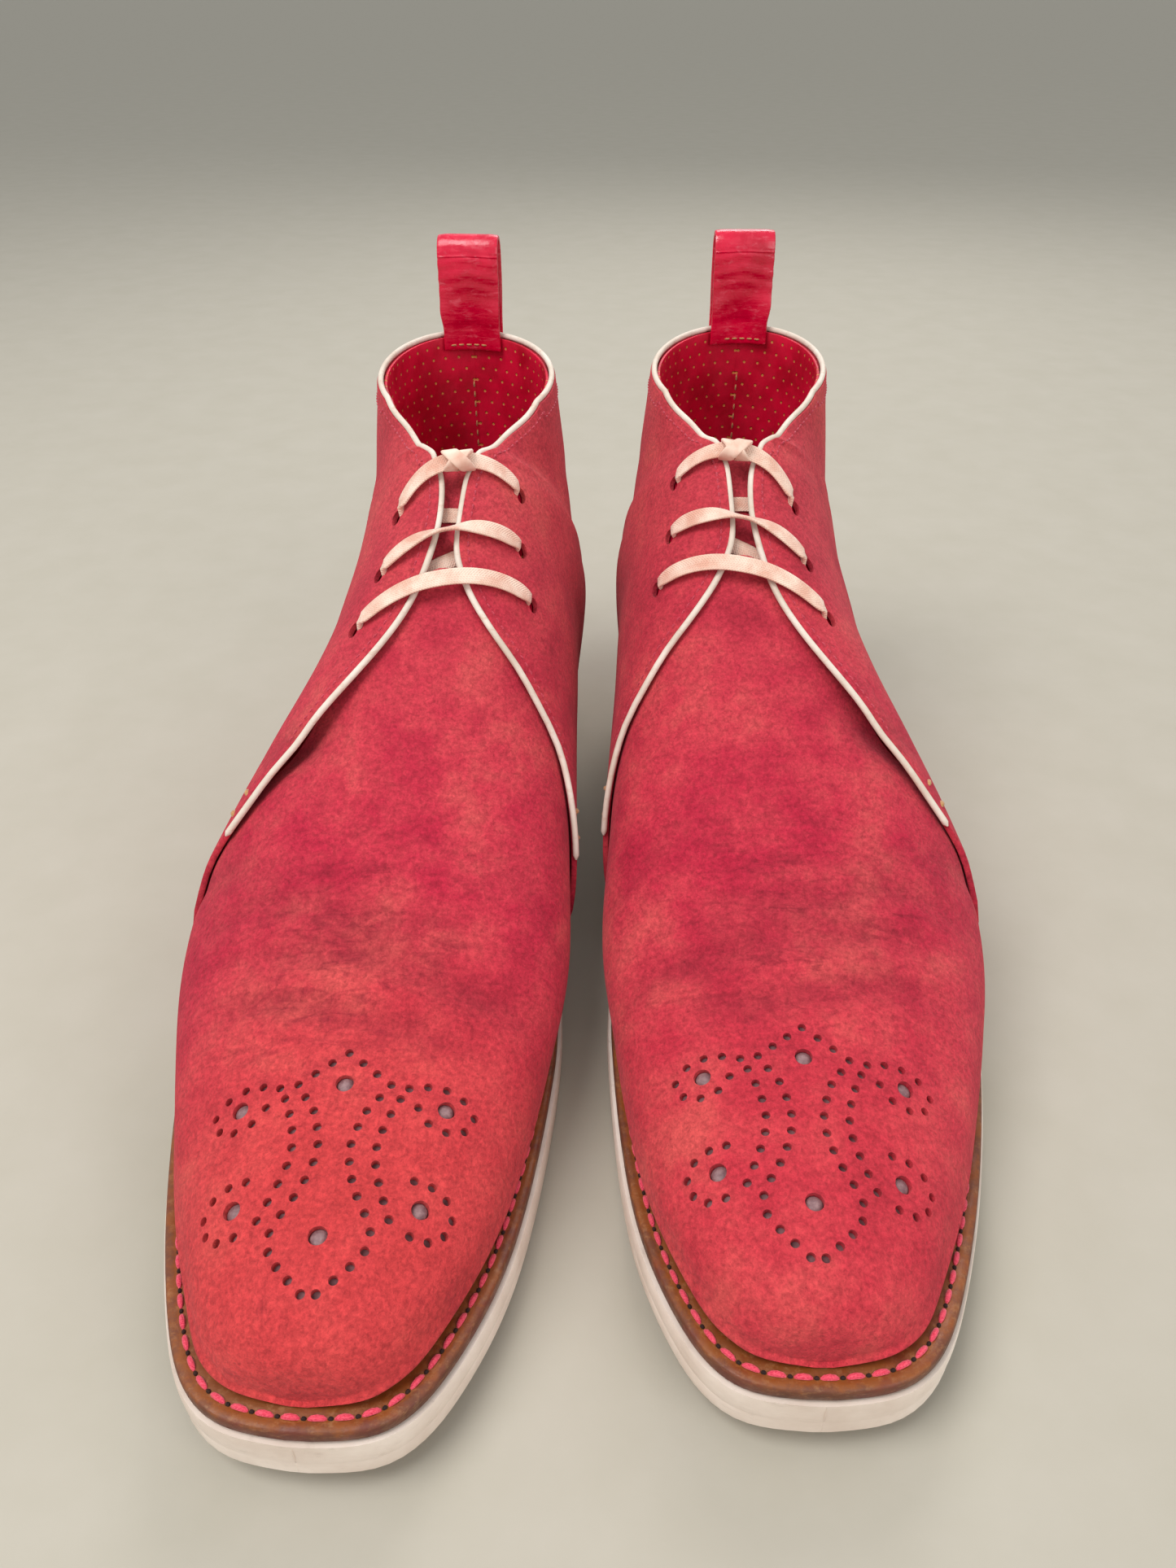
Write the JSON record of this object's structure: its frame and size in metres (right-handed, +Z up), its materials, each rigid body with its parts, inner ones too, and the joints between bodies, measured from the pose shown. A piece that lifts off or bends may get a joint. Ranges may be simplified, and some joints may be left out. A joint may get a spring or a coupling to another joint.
{
  "type": "chukka boots",
  "caption": "Low lace-up ankle boots as a pair: open-laced quarters, punched toe pattern, pull loop at the back, stitched welt and low heel.",
  "frame": {"origin": "bottom centre of the bounding box of the pair, on the floor", "axes": "+X across the pair towards the wearer's left boot, +Y towards the heels, -Y towards the toes, +Z up"},
  "size_m": [0.2082, 0.3164, 0.1687],
  "materials": {
    "red_suede": "matte napped suede",
    "red_lining": "smooth perforated lining",
    "stiffener": "matte",
    "cream_piping": "matte rolled edge",
    "insole_leather": "matte",
    "cork": "matte cork",
    "shank_steel": "brushed",
    "brown_welt": "waxed",
    "pink_thread": "matte thread",
    "white_sole": "satin off-white",
    "red_strap": "glossy",
    "cream_lace": "matte flat cotton"
  },
  "bodies": {
    "left_boot": {"left_vamp": "red_suede", "left_vamp_lining": "red_lining", "left_toe_puff": "stiffener", "left_quarter_outer": "red_suede", "left_quarter_inner": "red_suede", "left_quarter_lining_outer": "red_lining", "left_quarter_lining_inner": "red_lining", "left_heel_counter": "stiffener", "left_piping": "cream_piping", "left_insole_board": "insole_leather", "left_sock_liner": "red_lining", "left_cork_filler": "cork", "left_shank": "shank_steel", "left_welt": "brown_welt", "left_welt_stitch": "pink_thread", "left_midsole": "white_sole", "left_outsole": "white_sole", "left_heel_block": "white_sole", "left_top_piece": "white_sole", "left_loop_tab_inside": "red_strap", "left_loop_tab_outside": "red_strap", "left_lace_bottom": "cream_lace", "left_lace_middle": "cream_lace", "left_lace_top": "cream_lace", "left_lace_under_low": "cream_lace", "left_lace_under_high": "cream_lace", "left_lace_knot": "cream_lace"},
    "left_tongue_flap": {"left_tongue": "red_suede"},
    "left_loop": {"left_pull_loop": "red_strap"},
    "right_boot": {"right_vamp": "red_suede", "right_vamp_lining": "red_lining", "right_toe_puff": "stiffener", "right_quarter_outer": "red_suede", "right_quarter_inner": "red_suede", "right_quarter_lining_outer": "red_lining", "right_quarter_lining_inner": "red_lining", "right_heel_counter": "stiffener", "right_piping": "cream_piping", "right_insole_board": "insole_leather", "right_sock_liner": "red_lining", "right_cork_filler": "cork", "right_shank": "shank_steel", "right_welt": "brown_welt", "right_welt_stitch": "pink_thread", "right_midsole": "white_sole", "right_outsole": "white_sole", "right_heel_block": "white_sole", "right_top_piece": "white_sole", "right_loop_tab_inside": "red_strap", "right_loop_tab_outside": "red_strap", "right_lace_bottom": "cream_lace", "right_lace_middle": "cream_lace", "right_lace_top": "cream_lace", "right_lace_under_low": "cream_lace", "right_lace_under_high": "cream_lace", "right_lace_knot": "cream_lace"},
    "right_tongue_flap": {"right_tongue": "red_suede"},
    "right_loop": {"right_pull_loop": "red_strap"}
  },
  "joints": [
    {"name": "right_boot_lift", "type": "slide", "parent": "left_boot", "child": "right_boot", "axis": [0, 0, 1], "range_m": [0, 0.25]},
    {"name": "left_tongue_press", "type": "hinge", "parent": "left_boot", "child": "left_tongue_flap", "pos_m": [0.0455, 0.0205, 0.0862], "axis": [-1, 0, 0], "range_deg": [0, 8]},
    {"name": "left_loop_flex", "type": "hinge", "parent": "left_boot", "child": "left_loop", "pos_m": [0.05074, 0.14816, 0.14125], "axis": [1, 0, 0], "range_deg": [-8, 8]},
    {"name": "right_tongue_press", "type": "hinge", "parent": "right_boot", "child": "right_tongue_flap", "pos_m": [-0.0437, 0.0122, 0.0862], "axis": [-0.9973, 0.0732, 0], "range_deg": [0, 8]},
    {"name": "right_loop_flex", "type": "hinge", "parent": "right_boot", "child": "right_loop", "pos_m": [-0.03787, 0.14037, 0.14125], "axis": [0.9973, -0.0732, 0], "range_deg": [-8, 8]}
  ]
}
